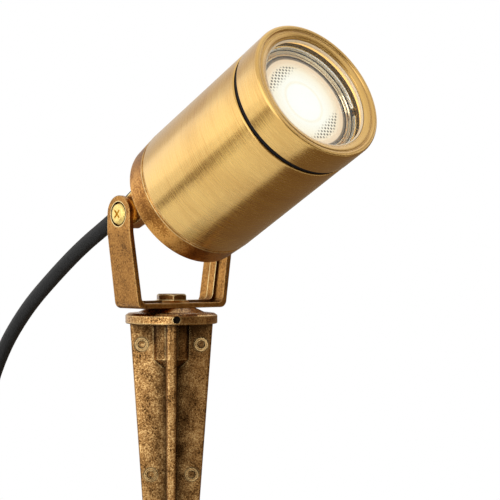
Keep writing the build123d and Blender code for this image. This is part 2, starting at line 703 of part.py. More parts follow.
def make_coil_ties(wire):
    """Two cable ties round the bundle of turns; the coil rests on them."""
    low = COIL_Z - CORD_R - TIE_SLACK
    high = COIL_Z + COIL_PITCH + CORD_R + TIE_SLACK
    count = int(wire.length)
    places = [wire @ (i / count) - Vector(COIL_X, COIL_Y, 0) for i in range(count + 1)]
    ties = []
    for turn in (90, -45):
        near = [p for p in places if abs(math.degrees(math.atan2(p.Y, p.X)) - turn) < 6]
        reaches = [math.hypot(p.X, p.Y) for p in near]
        r_in = min(reaches) - CORD_R - TIE_SLACK
        r_out = max(reaches) + CORD_R + TIE_SLACK
        wide, tall = r_out - r_in, high - low
        outer = RectangleRounded(wide + 2 * TIE_T, tall + 2 * TIE_T, 3.4)
        inner = RectangleRounded(wide, tall, 2.2)
        band = extrude(Plane.XZ * (outer - inner), TIE_W / 2, both=True)
        head = Pos(-wide / 2 - TIE_T - 1.2, 0, 0) * Box(3.4, TIE_W + 2.0, 6.0)
        tail = Pos(-wide / 2 - TIE_T - 1.2, 0, 6.5) * Box(TIE_T, TIE_W - 0.6, 9.0)
        tie = Pos((r_in + r_out) / 2, 0, (low + high) / 2) * (band + head + tail)
        ties.append(Pos(COIL_X, COIL_Y, 0) * Rot(0, 0, turn) * tie)
    return ties


# ---------------------------------------------------------------- build and write
os.makedirs("parts", exist_ok=True)

save("spike", make_spike())
save("grub_screw", make_grub_screw())
save("hex_bolt", make_hex_bolt())
save("yoke", make_yoke())
save("pivot_screws", grouped(make_pivot_screws()))
save("pivot_washers", grouped(make_pivot_washers()))

head_pieces = {
    "rear_cap": make_rear_cap(),
    "body_tube": make_body_tube(),
    "cap_oring": rounded_ring(SPIGOT_R - 1.48, SPIGOT_R + 0.05, 25.62, 27.58, 0.5),
    "bezel_ring": make_bezel_ring(),
    "bezel_seal": rounded_ring(THREAD_R - 0.68, 30.9, BODY_FRONT + 0.02, BEZEL_REAR - 0.02, 0.7),
    "glass_gasket": make_glass_gasket(),
    "glass_disc": make_glass_disc(),
    "glass_oring": rounded_ring(25.4, BEZEL_BORE_R - 0.03, 99.82, LIP_REAR - 0.62 - GLASS_T, 0.35),
    "snap_ring": make_snap_ring(),
    "gland_body": gland_place * make_gland_body(),
    "gland_washer": gland_place * (disc(8.3, CAP_REAR - 0.98, CAP_REAR - 0.02) - disc(7.0, 10, 13)),
    "gland_nut": gland_place * make_gland_nut(),
    "gland_seal": gland_place * make_gland_seal(),
    "gland_sleeve": gland_place * make_gland_sleeve(),
    "lampholder": make_lampholder(),
    "contact_clips": grouped(make_contact_clips()),
    "holder_bracket": make_holder_bracket(),
    "holder_screws": grouped(
        Pos(s * 13, 0, 0) * pan_screw(1.25, 2.8, 1.8, HOLDER_FRONT - 3, HOLDER_REAR - 4) for s in (-1, 1)
    ),
    "bracket_screws": grouped(
        Pos(s * 20.5, 0, 0) * pan_screw(1.2, 2.4, 1.8, 21.27, 14.5) for s in (-1, 1)
    ),
    "terminal_block": make_terminal_block(),
    "terminal_screws": grouped(make_terminal_screws()),
    "holder_leads": grouped(make_holder_leads()),
    "cable_entry": gland_place * disc(CORD_R, SLEEVE_END, 22.98),
    "inner_cores": grouped(make_inner_cores()),
    "earth_lead": make_earth_lead(),
    "earth_screw": Pos(0, -19.5, 0) * pan_screw(1.64, 3.3, 2.0, 18.82, 14.2),
    "lamp_housing": make_lamp_housing(),
    "lamp_front_ring": make_lamp_front_ring(),
    "lamp_lens": make_lamp_lens(),
    "light_board": disc(19.6, 87.52, 88.8) + disc(8.0, 88.6, 89.6),
    "lamp_base": make_lamp_base(),
    "lamp_pins": grouped(make_lamp_pins()),
}
for piece_name, piece in head_pieces.items():
    save(piece_name, head_place * piece)

tube_solid, tube_length = make_cord_tube()
coil_solid, coil_wire = make_cord_coil()
save("cord_tube", tube_solid)
save("cord_coil", coil_solid)
save("cord_cores", grouped(make_cord_cores()))
save("coil_ties", grouped(make_coil_ties(coil_wire)))
print("cord: whole length", round(tube_length + coil_wire.length, 1))
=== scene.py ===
"""Looks of a cast and turned brass garden spotlight on a ground spike.

Every length is in metres in the row frame: +Z up, ground level at Z = 0, the spike's axis on Z,
the tilt axis along X and the head facing -Y.  Turned outlines are in millimetres along the head's
own axis, from the tilt axis forwards.
"""

import logging
import math
from collections.abc import Callable
from dataclasses import dataclass, field
from enum import Enum
from functools import partial
from typing import Any, ClassVar

import bmesh
import bpy
from mathutils import Matrix, Vector

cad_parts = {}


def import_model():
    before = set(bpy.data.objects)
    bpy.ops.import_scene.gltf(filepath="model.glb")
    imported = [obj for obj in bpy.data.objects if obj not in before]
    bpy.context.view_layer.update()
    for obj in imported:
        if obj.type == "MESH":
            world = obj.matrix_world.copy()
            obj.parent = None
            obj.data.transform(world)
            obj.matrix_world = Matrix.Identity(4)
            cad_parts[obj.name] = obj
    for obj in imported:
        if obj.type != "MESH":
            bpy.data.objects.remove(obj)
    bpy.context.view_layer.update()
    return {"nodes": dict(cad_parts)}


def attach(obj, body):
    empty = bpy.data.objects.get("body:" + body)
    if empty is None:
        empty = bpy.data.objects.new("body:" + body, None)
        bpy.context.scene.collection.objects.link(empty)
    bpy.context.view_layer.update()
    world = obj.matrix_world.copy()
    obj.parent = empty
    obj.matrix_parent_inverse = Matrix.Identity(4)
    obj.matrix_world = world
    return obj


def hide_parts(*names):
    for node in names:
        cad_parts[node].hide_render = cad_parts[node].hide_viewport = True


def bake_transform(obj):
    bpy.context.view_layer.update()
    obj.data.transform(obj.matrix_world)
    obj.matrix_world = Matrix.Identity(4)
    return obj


log = logging.getLogger("garden_spotlight")

MM = 0.001
PIVOT_Z = 49.2 * MM
TILT = math.radians(27.3)
HEAD_TURN = math.radians(90) - TILT
GROUND_SPIKE_LENGTH = 228 * MM
GLAND_HEIGHT = 19.0 * MM
CORD_RADIUS = 3.7 * MM
RAY_SAMPLES = 8
AMBER_WHITE = "#FFDFB8"

# radius, height and the rounding of that corner, in millimetres
Profile = list[tuple[float, float, float]]
# a place in metres, or a direction
Spot = tuple[float, float, float]
# a node for its first output in use, or a node with one of its outputs by name
Source = bpy.types.Node | tuple[bpy.types.Node, str]
# add_node, for one tree
Add = Callable[..., bpy.types.Node]


class Finish(Enum):
    """The surfaces of the spotlight, each by its material and how it was made.

    The comment beside each says what that gives the eye.
    """

    TURNED_BRASS = "turned_brass_brushed"  # hairlines round the axis under a clear lacquer
    CAST_BRASS = "sand_cast_brass_aged"  # a brown pebbled skin, bright along worn edges with a painted highlight
    SPIKE_BRASS = "sand_cast_brass_rough"  # coarse gold spots, nearly black with patina and painted shade in the corners
    CAP_BRASS = "die_cast_brass_tumbled"  # a fine reddish skin in broad clouds
    BRASS_SCREW = "machined_brass_screw"  # clean yellow with fine marks
    BRASS_BOLT = "machined_brass_aged"  # dull brown with a little gold
    STAINLESS = "stainless_steel_turned"  # even mid grey
    BLACK_STEEL = "steel_blackened"  # nearly black, with a dull gleam
    SPRING_STEEL = "spring_steel_polished"  # cool and bright
    NICKEL = "nickel_plate"  # bright, with a breath of yellow
    ALUMINIUM = "aluminium_cast_lacquered"  # pale grey and soft
    LAMP_RING = "aluminium_turned_bright"  # warm silver, drawn out round the axis
    NITRILE = "nitrile_rubber_moulded"  # matt black
    SHEATH = "rubber_sheath_extruded"  # black with a soft grey sheen
    GASKET = "silicone_gasket_moulded"  # milky cream
    STEATITE = "steatite_glazed"  # glossy off-white
    NYLON_WHITE = "nylon_white_moulded"  # half-matt white
    NYLON_BLACK = "nylon_black_moulded"  # half-matt black
    GLASS_FIBRE = "glass_fibre_sleeve"  # dull woven white
    CORE_BROWN = "core_brown_extruded"  # smooth brown
    CORE_EARTH = "core_earth_extruded"  # smooth yellow green
    SOLDER_MASK = "solder_mask_white"  # warm white, lit
    GLASS = "toughened_glass_polished"  # clear, with a soft reflection
    GLASS_RIM = "toughened_glass_ground_rim"  # frosted, with a painted orange glow that stands for the lamp's light through the disc
    OPTIC = "lamp_optic_moulded"  # white-hot in the middle and cream at the rim


def head_matrix() -> Matrix:
    """Frame of the head: its +Z is the beam's axis and its +Y points up and back."""
    return Matrix.Translation((0, 0, PIVOT_Z)) @ Matrix.Rotation(HEAD_TURN, 4, "X")


def linear(colour: str) -> tuple[float, float, float, float]:
    """Turns an sRGB hex colour into linear values.

    Args:
        colour: the colour as six hex digits with a leading #.

    Returns:
        Linear red, green, blue and an alpha of 1.
    """
    parts = [int(colour[i : i + 2], 16) / 255 for i in (1, 3, 5)]
    red, green, blue = (c / 12.92 if c <= 0.04045 else ((c + 0.055) / 1.055) ** 2.4 for c in parts)
    return red, green, blue, 1.0


def add_node(
    tree: bpy.types.NodeTree,
    kind: str,
    settings: dict[Any, Any] | None = None,
    links: dict[Any, Source] | None = None,
) -> bpy.types.Node:
    """Adds one shader node with its settings and its incoming links.

    Args:
        tree: the node tree that gets the node.
        kind: the node's type name, without the ShaderNode that starts each.
        settings: properties by name, input values by input name or number, a hex colour for a
            colour input, under "stops" a ramp's positions and hex colours, and under "range"
            the two values that a map reads and the two that it gives for them.
        links: input name or number to the source.

    Returns:
        The new node.
    """
    node = tree.nodes.new("ShaderNode" + kind)
    for key, value in (settings or {}).items():
        if key == "stops":
            elements = node.color_ramp.elements
            while len(elements) < len(value):
                elements.new(0.5)
            for element, (position, colour) in zip(elements, value):
                element.position = position
                element.color = linear(colour)
        elif key == "range":
            for number, limit in enumerate(value, 1):
                node.inputs[number].default_value = limit
        elif isinstance(key, str) and hasattr(node, key):
            setattr(node, key, value)
        else:
            node.inputs[key].default_value = linear(value) if isinstance(value, str) else value
    for key, source in (links or {}).items():
        if isinstance(source, tuple):
            output = source[0].outputs[source[1]]
        else:
            output = next(socket for socket in source.outputs if socket.enabled)
        tree.links.new(output, node.inputs[key])
    return node


def fresh_material(name: str) -> tuple[bpy.types.Material, Add]:
    """Makes an empty node material.

    Args:
        name: the material's name.

    Returns:
        The material, and add_node for its cleared tree.
    """
    material = bpy.data.materials.new(name)
    material.use_nodes = True
    material.node_tree.nodes.clear()
    return material, partial(add_node, material.node_tree)


def frequency(size_mm: float) -> float:
    """Noise scale in 1/m that gives features of about a size in millimetres."""
    return 1000.0 / size_mm


def across_axis(add: Add, place: Source) -> tuple[bpy.types.Node, bpy.types.Node]:
    """Adds a place without its Z, and how far that is from the axis.

    Args:
        add: add_node for the tree.
        place: the place.

    Returns:
        The node of the flat place and the node of its distance.
    """
    flat = add("VectorMath", {"operation": "MULTIPLY", 1: (1, 1, 0)}, {0: place})
    return flat, add("VectorMath", {"operation": "LENGTH"}, {0: flat})


def head_place(add: Add) -> bpy.types.Node:
    """Adds the place in the head's own frame.

    Args:
        add: add_node for the tree.

    Returns:
        The node of the place.
    """
    place = add("TexCoord")
    return add(
        "Mapping",
        {"vector_type": "TEXTURE", "Location": (0, 0, PIVOT_Z), "Rotation": (HEAD_TURN, 0, 0)},
        {"Vector": (place, "Object")},
    )


def any_ray(add: Add, *kinds: str) -> Source:
    """Adds a share that is 1 for rays of some kinds and 0 for all others.

    Args:
        add: add_node for the tree.
        kinds: names of the light path's outputs.

    Returns:
        The source of the share.
    """
    path = add("LightPath")
    share: Source = (path, kinds[0])
    for kind in kinds[1:]:
        share = add("Math", {"operation": "MAXIMUM"}, {0: share, 1: (path, kind)})
    return share


# ------------------------------------------------------------------------------ finishes
@dataclass(frozen=True)
class Coating:
    """A finish, which makes one material."""

    name: Finish

    def shader(self, add: Add) -> bpy.types.Node:
        """Adds the nodes of the surface, which each kind of finish has its own way of."""
        raise NotImplementedError

    def material(self) -> bpy.types.Material:
        """Builds the material.

        Returns:
            The material, named for its finish.
        """
        material, add = fresh_material(self.name.value)
        add("OutputMaterial", links={"Surface": self.shader(add)})
        return material


@dataclass(frozen=True)
class TurnedMetal(Coating):
    """Brass or aluminium turned on a lathe, brushed round its axis and lacquered.

    The eye sees fine hairlines that run round the axis, reflections drawn out along it, and a
    faint warm unevenness where the lacquer is thicker.
    """

    body: str = "#E2B764"
    deep: str = "#CC9C4A"
    # painted shade in the grooves and seams, with a little dirt
    groove: str = "#5E3D18"
    roughness: float = 0.26
    # real hairlines are about 0.05 mm apart, drawn wider so that they show
    hairline_mm: float = 0.34
    stroke_mm: float = 18.0
    cloud_mm: float = 42.0
    cloud_along_mm: float = 14.0
    # how fast the lines follow each other on a flat face, against along the axis
    face_pace: float = -1.7
    hairline_share: float = 0.8
    relief_mm: float = 0.03
    dirt_and_shade_mm: float = 1.1

    def shader(self, add: Add) -> bpy.types.Node:
        """Adds the nodes of the surface, on the head's own axis.

        Args:
            add: add_node for the material's tree.

        Returns:
            The shader.
        """
        on_axis = head_place(add)
        flat, reach = across_axis(add, on_axis)
        parts = add("SeparateXYZ", links={"Vector": on_axis})
        # on a cylinder this runs along the axis, and on a flat face it runs outwards
        paced = {"operation": "MULTIPLY_ADD", 1: self.face_pace}
        travel = add("Math", paced, {0: reach, 2: (parts, "Z")})
        lathe = add("CombineXYZ", links={"X": (parts, "X"), "Y": (parts, "Y"), "Z": travel})
        patterns = []
        for round_mm, along_mm, detail, ragged in (
            (self.stroke_mm, self.hairline_mm, 2.0, 0.7),
            (self.cloud_mm, self.cloud_along_mm, 5.0, 0.6),
        ):
            scale = (frequency(round_mm), frequency(round_mm), frequency(along_mm))
            drawn = add("Mapping", {"vector_type": "POINT", "Scale": scale}, {"Vector": lathe})
            settings = {"Scale": 1.0, "Detail": detail, "Roughness": ragged}
            patterns.append(add("TexNoise", settings, {"Vector": drawn}))
        hairlines, clouds = patterns
        shared = {"operation": "MULTIPLY_ADD", 1: self.hairline_share}
        mixed = add("Math", shared, {0: hairlines, 2: clouds})
        colour = add("ValToRGB", {"stops": [(0.6, self.deep), (1.0, self.body)]}, {"Fac": mixed})
        # painted shade darkens the grooves and seams, where polish and dirt also stay
        hollow = add("AmbientOcclusion", {"samples": RAY_SAMPLES, "Distance": self.dirt_and_shade_mm * MM})
        shade = add("MapRange", {"range": (0.35, 0.85, 1.0, 0.0)}, {0: (hollow, "AO")})
        final = add("Mix", {"data_type": "RGBA", 7: self.groove}, {0: shade, 6: colour})
        sheen = add(
            "MapRange",
            {"range": (0.3, 0.7, self.roughness - 0.02, self.roughness + 0.03)},
            {0: hairlines},
        )
        relief = add(
            "Bump", {"Strength": 0.06, "Distance": self.relief_mm * MM}, {"Height": hairlines}
        )
        # the brushing runs round the axis, so a reflection is drawn out across it
        around = add("VectorMath", {"operation": "CROSS_PRODUCT", 0: (0, 0, 1)}, {1: flat})
        upright = add(
            "Mapping", {"vector_type": "VECTOR", "Rotation": (HEAD_TURN, 0, 0)}, {"Vector": around}
        )
        posed = add(
            "VectorTransform",
            {"vector_type": "VECTOR", "convert_from": "OBJECT", "convert_to": "WORLD"},
            {"Vector": upright},
        )
        facing = add("NewGeometry")
        across = add(
            "VectorMath", {"operation": "CROSS_PRODUCT"}, {0: posed, 1: (facing, "Normal")}
        )
        return add(
            "BsdfPrincipled",
            {"Metallic": 1.0, "Anisotropic": 0.75, "Coat Weight": 1.0, "Coat Roughness": 0.22},
            {"Base Color": final, "Roughness": sheen, "Normal": relief, "Tangent": across},
        )


@dataclass(frozen=True)
class CastBrass(Coating):
    """Brass cast in sand, darkened, and rubbed back by handling.

    The eye sees a fine pebbled skin, brown in its hollows and corners with patina and painted
    shade, warm gold on its faces, and bright along the edges that hands and tools have worn, with a
    painted highlight there too.
    """

    # the dark of the pits, and also the painted shade of the hollows and corners
    pit_and_shade: str = "#4A2F14"
    skin: str = "#A87539"
    rubbed: str = "#C28F4C"
    # worn edges, with a painted highlight
    edge: str = "#F6DFA2"
    grain_mm: float = 0.8
    spread: float = 0.19
    blotch_mm: float = 6.0
    mottle: float = 0.35
    roughness: float = 0.31
    relief_mm: float = 0.04
    wear_and_glint_mm: float = 1.1
    hollow_mm: float = 2.5
    corner_mm: float = 7.0
    corner_dark: float = 0.6

    def shader(self, add: Add) -> bpy.types.Node:
        """Adds the nodes of the surface, on the row frame.

        Args:
            add: add_node for the material's tree.

        Returns:
            The shader.
        """
        place = add("TexCoord")
        grain, blotch = (
            add(
                "TexNoise",
                {"Scale": frequency(size_mm), "Detail": 5.0, "Roughness": ragged},
                {"Vector": (place, "Object")},
            )
            for size_mm, ragged in ((self.grain_mm, 0.72), (self.blotch_mm, 0.58))
        )
        level = add("Math", {"operation": "MULTIPLY_ADD", 1: self.mottle}, {0: blotch, 2: grain})
        middle = 0.5 + 0.5 * self.mottle
        stops = [
            (middle - self.spread, self.pit_and_shade),
            (middle, self.skin),
            (middle + self.spread, self.rubbed),
        ]
        colour = add("ValToRGB", {"stops": stops}, {"Fac": level})
        hollow, depth = (
            add(
                "AmbientOcclusion",
                {"samples": RAY_SAMPLES, "only_local": True, "Distance": reach_mm * MM},
            )
            for reach_mm in (self.hollow_mm, self.corner_mm)
        )
        # beside an edge the surface turns away from its rounded self, and there it is worn bright,
        # with a painted highlight along the rounded edge
        facing = add("NewGeometry")
        rounded = add("Bevel", {"samples": RAY_SAMPLES, "Radius": self.wear_and_glint_mm * MM})
        turn = add("VectorMath", {"operation": "DOT_PRODUCT"}, {0: rounded, 1: (facing, "Normal")})
        corner = add("MapRange", {"range": (0.98, 0.91, 0.0, 1.0)}, {0: turn})
        proud = add("MapRange", {"range": (0.72, 0.92, 0.0, 1.0)}, {0: (hollow, "AO")})
        patchy = add("MapRange", {"range": (0.35, 0.55, 0.6, 1.0)}, {0: blotch})
        edge_wear_and_glint = add("Math", {"operation": "MULTIPLY"}, {0: corner, 1: proud})
        wear_and_glint = add("Math", {"operation": "MULTIPLY"}, {0: edge_wear_and_glint, 1: patchy})
        # patina and painted shade darken the hollows
        shade = add("MapRange", {"range": (0.35, 0.85, 0.8, 0.0)}, {0: (hollow, "AO")})
        # patina and painted shade run on out of the deep corners, where no hand rubs them off
        uneven = add("Math", {"operation": "MULTIPLY_ADD", 1: 0.5}, {0: blotch, 2: (depth, "AO")})
        corner_patina_and_shade = add("MapRange", {"range": (0.78, 1.22, self.corner_dark, 0.0)}, {0: uneven})
        for share, tint in ((shade, self.pit_and_shade), (corner_patina_and_shade, self.pit_and_shade), (wear_and_glint, self.edge)):
            colour = add("Mix", {"data_type": "RGBA", 7: tint}, {0: share, 6: colour})
        dull = add(
            "MapRange",
            {"range": (0.35, 0.68, self.roughness + 0.12, self.roughness - 0.05)},
            {0: grain},
        )
        relief = add("Bump", {"Strength": 0.7, "Distance": self.relief_mm * MM}, {"Height": grain})
        return add(
            "BsdfPrincipled",
            {"Metallic": 1.0},
            {"Base Color": colour, "Roughness": dull, "Normal": relief},
        )


@dataclass(frozen=True)
class Grained(Coating):
    """An even colour that a fine grain mottles, dulls and raises a little."""

    colour: str
    mottle: str
    roughness: float
    grain_mm: float = 0.4
    relief_mm: float = 0.015
    detail: float = 3.0
    ragged: float = 0.55
    strength: float = 0.5
    # where in the grain the two colours lie, and what its low and high parts add in roughness
    colour_at: tuple[float, float] = (0.32, 0.66)
    dulled: tuple[float, float] = (-0.04, 0.06)

    def skin(self, add: Add) -> dict[str, Source]:
        """Adds the grain and what it does to the surface.

        Args:
            add: add_node for the material's tree.

        Returns:
            The links of the shader.
        """
        place = add("TexCoord")
        grain = add(
            "TexNoise",
            {"Scale": frequency(self.grain_mm), "Detail": self.detail, "Roughness": self.ragged},
            {"Vector": (place, "Object")},
        )
        stops = list(zip(self.colour_at, (self.mottle, self.colour)))
        colour = add("ValToRGB", {"stops": stops}, {"Fac": grain})
        low, high = (self.roughness + change for change in self.dulled)
        dull = add("MapRange", {"range": (0.3, 0.7, low, high)}, {0: grain})
        relief = add(
            "Bump", {"Strength": self.strength, "Distance": self.relief_mm * MM}, {"Height": grain}
        )
        return {"Base Color": colour, "Roughness": dull, "Normal": relief}


@dataclass(frozen=True)
class PlainMetal(Grained):
    """Drawn, pressed, machined or plated metal with fine marks all over.

    The eye sees an even colour that fine scratches break up a little.
    """

    grain_mm: float = 0.5
    relief_mm: float = 0.03
    detail: float = 4.0
    ragged: float = 0.7
    strength: float = 0.25
    colour_at: tuple[float, float] = (0.3, 0.62)
    dulled: tuple[float, float] = (0.08, -0.04)

    def shader(self, add: Add) -> bpy.types.Node:
        """Adds the nodes of the surface and gives its shader."""
        return add("BsdfPrincipled", {"Metallic": 1.0}, self.skin(add))


@dataclass(frozen=True)
class Polymer(Grained):
    """Moulded or extruded plastic, rubber or glazed ceramic.

    The eye sees one colour with a faint mottle and the fine skin of the mould.
    """

    glow: float = 0.0
    gloss: float = 0.5

    def shader(self, add: Add) -> bpy.types.Node:
        """Adds the nodes of the surface and gives its shader."""
        settings = {
            "IOR": 1.5,
            "Specular IOR Level": self.gloss,
            "Emission Strength": self.glow,
            "Emission Color": self.colour,
        }
        return add("BsdfPrincipled", settings, self.skin(add))


@dataclass(frozen=True)
class ClearGlass(Coating):
    """Toughened float glass with polished faces.

    The eye sees straight through it, with a soft reflection over what lies behind.
    """

    colour: str = "#F6FAF8"

    def shader(self, add: Add) -> bpy.types.Node:
        """Adds the nodes of the glass; shadow and bounced light pass straight through it.

        Args:
            add: add_node for the material's tree.

        Returns:
            The shader.
        """
        glass = add(
            "BsdfPrincipled",
            {"Base Color": self.colour, "Roughness": 0.0, "IOR": 1.5, "Transmission Weight": 1.0},
        )
        through = add("BsdfTransparent")
        either = any_ray(add, "Is Shadow Ray", "Is Diffuse Ray")
        return add("MixShader", links={0: either, 1: glass, 2: through})


@dataclass(frozen=True)
class LampOptic(Coating):
    """Clear acrylic moulded into a honeycomb of small lenses over a lit board.

    The eye sees a white-hot middle that fades to cream at the rim, faint turned rings, and
    dark honeycomb dots in two patches near the rim, a painted reflection of the lamp's dark inside.
    """

    radius_mm: float = 22.0
    cell_mm: float = 1.75
    dot_share: float = 0.36
    dot_blur: float = 0.12
    relief_mm: float = 0.2
    # colour of the painted reflection in the honeycomb dots
    dot_reflection: str = "#33291F"
    patch_turn: float = math.radians(126)
    patch_from_mm: float = 11.5
    patch_full_mm: float = 14.0
    rim_mm: float = 18.0
    # shares of the radius, from the middle to the black edge
    glow: tuple[tuple[float, str], ...] = (
        (0.0, "#FFFFFF"),
        (0.38, "#FFFFFC"),
        (0.43, "#FDF6E4"),
        (0.48, "#FFFDF4"),
        (0.70, "#FDF3DE"),
        (0.82, "#F4DFC0"),
        (0.86, "#EFD3B2"),
        (0.925, "#E9CDAC"),
        (0.945, "#54483C"),
        (1.0, "#463C32"),
    )

    def cells(self, add: Add, flat: bpy.types.Node) -> bpy.types.Node:
        """Adds a honeycomb: two square-cornered grids, one shifted by half a cell.

        Args:
            add: add_node for the material's tree.
            flat: the node of the place across the head's axis.

        Returns:
            The node of the distance to the nearest cell's middle, in cells.
        """
        tall = math.sqrt(3)
        nearest = []
        for shift in (0.0, 0.5):
            settings = {
                "operation": "MULTIPLY_ADD",
                1: (frequency(self.cell_mm), frequency(self.cell_mm * tall), 0),
                2: (shift, shift, 0),
            }
            grid = add("VectorMath", settings, {0: flat})
            inside = add("VectorMath", {"operation": "FRACTION"}, {0: grid})
            settings = {"operation": "MULTIPLY_ADD", 1: (1, tall, 0), 2: (-0.5, -0.5 * tall, 0)}
            centred = add("VectorMath", settings, {0: inside})
            nearest.append(add("VectorMath", {"operation": "LENGTH"}, {0: centred}))
        return add("Math", {"operation": "MINIMUM"}, dict(enumerate(nearest)))

    def shader(self, add: Add) -> bpy.types.Node:
        """Adds the nodes of the surface, on the head's own axis.

        Args:
            add: add_node for the material's tree.

        Returns:
            The shader.
        """
        flat, reach = across_axis(add, head_place(add))
        out = add("MapRange", {"range": (0.0, self.radius_mm * MM, 0.0, 1.0)}, {0: reach})
        glow = add("ValToRGB", {"stops": self.glow}, {"Fac": out})
        cell = self.cells(add, flat)
        dots = add(
            "MapRange",
            {"range": (self.dot_share, self.dot_share - self.dot_blur, 0.0, 1.0)},
            {0: cell},
        )
        # painted reflection: dark dots in two patches near the rim stand for the lamp's dark inside
        # seen through the small lenses
        sideways = (math.cos(self.patch_turn), math.sin(self.patch_turn), 0)
        along = add("VectorMath", {"operation": "DOT_PRODUCT", 1: sideways}, {0: flat})
        long_side = add("Math", {"operation": "ABSOLUTE"}, {0: along})
        reflecting_side = add(
            "MapRange",
            {"range": (self.patch_from_mm * MM, self.patch_full_mm * MM, 0.0, 1.0)},
            {0: long_side},
        )
        rim = add(
            "MapRange",
            {"range": (self.rim_mm * MM, (self.rim_mm - 1.0) * MM, 0.0, 1.0)},
            {0: reach},
        )
        reflection_patch = add("Math", {"operation": "MULTIPLY"}, {0: reflecting_side, 1: rim})
        dark = add("Math", {"operation": "MULTIPLY"}, {0: reflection_patch, 1: dots})
        shown = add("Mix", {"data_type": "RGBA", 7: self.dot_reflection}, {0: dark, 6: glow})
        relief = add(
            "Bump",
            {"Strength": 0.5, "Distance": self.relief_mm * MM, "invert": True},
            {"Height": cell},
        )
        return add(
            "BsdfPrincipled",
            {"Base Color": "#5A5346", "Roughness": 0.16, "IOR": 1.49, "Emission Strength": 1.0},
            {"Emission Color": shown, "Normal": relief},
        )


class Finishes:
    """All finishes of the spotlight, each built once."""

    def __init__(self) -> None:
        """Builds every material."""
        choices = [
            TurnedMetal(Finish.TURNED_BRASS),
            CastBrass(Finish.CAST_BRASS),
            CastBrass(
                Finish.SPIKE_BRASS,
                pit_and_shade="#2A1808",
                skin="#A97A45",
                rubbed="#E6BE80",
                edge="#EBCB8F",
                grain_mm=0.75,
                spread=0.17,
                mottle=0.4,
                roughness=0.25,
                relief_mm=0.05,
                wear_and_glint_mm=1.5,
                corner_mm=14.0,
                corner_dark=0.95,
            ),
            CastBrass(
                Finish.CAP_BRASS,
                pit_and_shade="#5E3812",
                skin="#A56D2F",
                rubbed="#CC944C",
                grain_mm=0.7,
                spread=0.26,
                blotch_mm=16.0,
                mottle=0.9,
                roughness=0.28,
                wear_and_glint_mm=1.3,
                corner_mm=5.0,
            ),
            PlainMetal(Finish.BRASS_SCREW, "#F7E08E", "#CFA24E", 0.26),
            CastBrass(
                Finish.BRASS_BOLT, pit_and_shade="#3C2812", skin="#7A5228", rubbed="#93683A", relief_mm=0.02
            ),
            PlainMetal(Finish.STAINLESS, "#B9B9B6", "#8C8C89", 0.28),
            PlainMetal(Finish.BLACK_STEEL, "#332C26", "#1C1815", 0.35),
            PlainMetal(Finish.SPRING_STEEL, "#E6E9EC", "#C2C6CA", 0.24),
            PlainMetal(Finish.NICKEL, "#CFCABB", "#A5A093", 0.22),
            PlainMetal(Finish.ALUMINIUM, "#C9CACB", "#9C9D9F", 0.4),
            # its groove colour is painted shade in the channel between the ring's beads
            TurnedMetal(
                Finish.LAMP_RING, body="#E3CBA4", deep="#C4A67C", groove="#54402C", roughness=0.2
            ),
            Polymer(Finish.NITRILE, "#171416", "#0D0B0C", 0.6, gloss=0.12),
            Polymer(Finish.SHEATH, "#1C1C1C", "#131313", 0.55, 0.8, 0.02, gloss=0.25),
            Polymer(Finish.GASKET, "#E6D2B2", "#D6BE98", 0.3),
            Polymer(Finish.STEATITE, "#E9E6DC", "#DAD6C9", 0.22),
            Polymer(Finish.NYLON_WHITE, "#E4E3DD", "#D2D1CA", 0.45),
            Polymer(Finish.NYLON_BLACK, "#191919", "#101010", 0.4),
            Polymer(Finish.GLASS_FIBRE, "#D8D3C6", "#B9B3A4", 0.7, 0.5, 0.05),
            Polymer(Finish.CORE_BROWN, "#5A3420", "#472717", 0.42),
            Polymer(Finish.CORE_EARTH, "#7C9A2E", "#4F7A23", 0.42),
            Polymer(Finish.SOLDER_MASK, "#FFF3DC", "#F8E8C8", 0.5, glow=1.0),
            # painted light: the ground rim glows as though the lamp shone through the glass
            Polymer(Finish.GLASS_RIM, "#F9D183", "#EBB464", 0.6, 0.3, 0.03, glow=0.6),
            ClearGlass(Finish.GLASS),
            LampOptic(Finish.OPTIC),
        ]
        self.by_name = {choice.name: choice.material() for choice in choices}

    def dress(self, piece: bpy.types.Object, *names: Finish) -> None:
        """Puts finishes on a piece, in place of any that it has.

        Args:
            piece: the object.
            names: the finishes, in the order of the piece's slots.
        """
        piece.data.materials.clear()
        for name in names:
            piece.data.materials.append(self.by_name[name])


def linked(name: str, data: bpy.types.ID) -> bpy.types.Object:
    """Makes an object in the scene.

    Args:
        name: the object's name.
        data: its mesh, curve, light or camera.

    Returns:
        The linked object.
    """
    piece = bpy.data.objects.new(name, data)
    bpy.context.scene.collection.objects.link(piece)
    return piece


def finish_mesh(mesh: bmesh.types.BMesh, name: str, sharp: float = 32.0) -> bpy.types.Object:
    """Writes a bmesh to a new smooth-shaded object.

    Args:
        mesh: the bmesh, which is freed.
        name: the object's name.
        sharp: edges that turn by more than this many degrees stay sharp.

    Returns:
        The linked object.
    """
    for face in mesh.faces:
        face.smooth = True
    for edge in mesh.edges:
        if len(edge.link_faces) == 2 and edge.calc_face_angle(0.0) > math.radians(sharp):
            edge.smooth = False
    data = bpy.data.meshes.new(name)
    mesh.to_mesh(data)
    mesh.free()
    return linked(name, data)


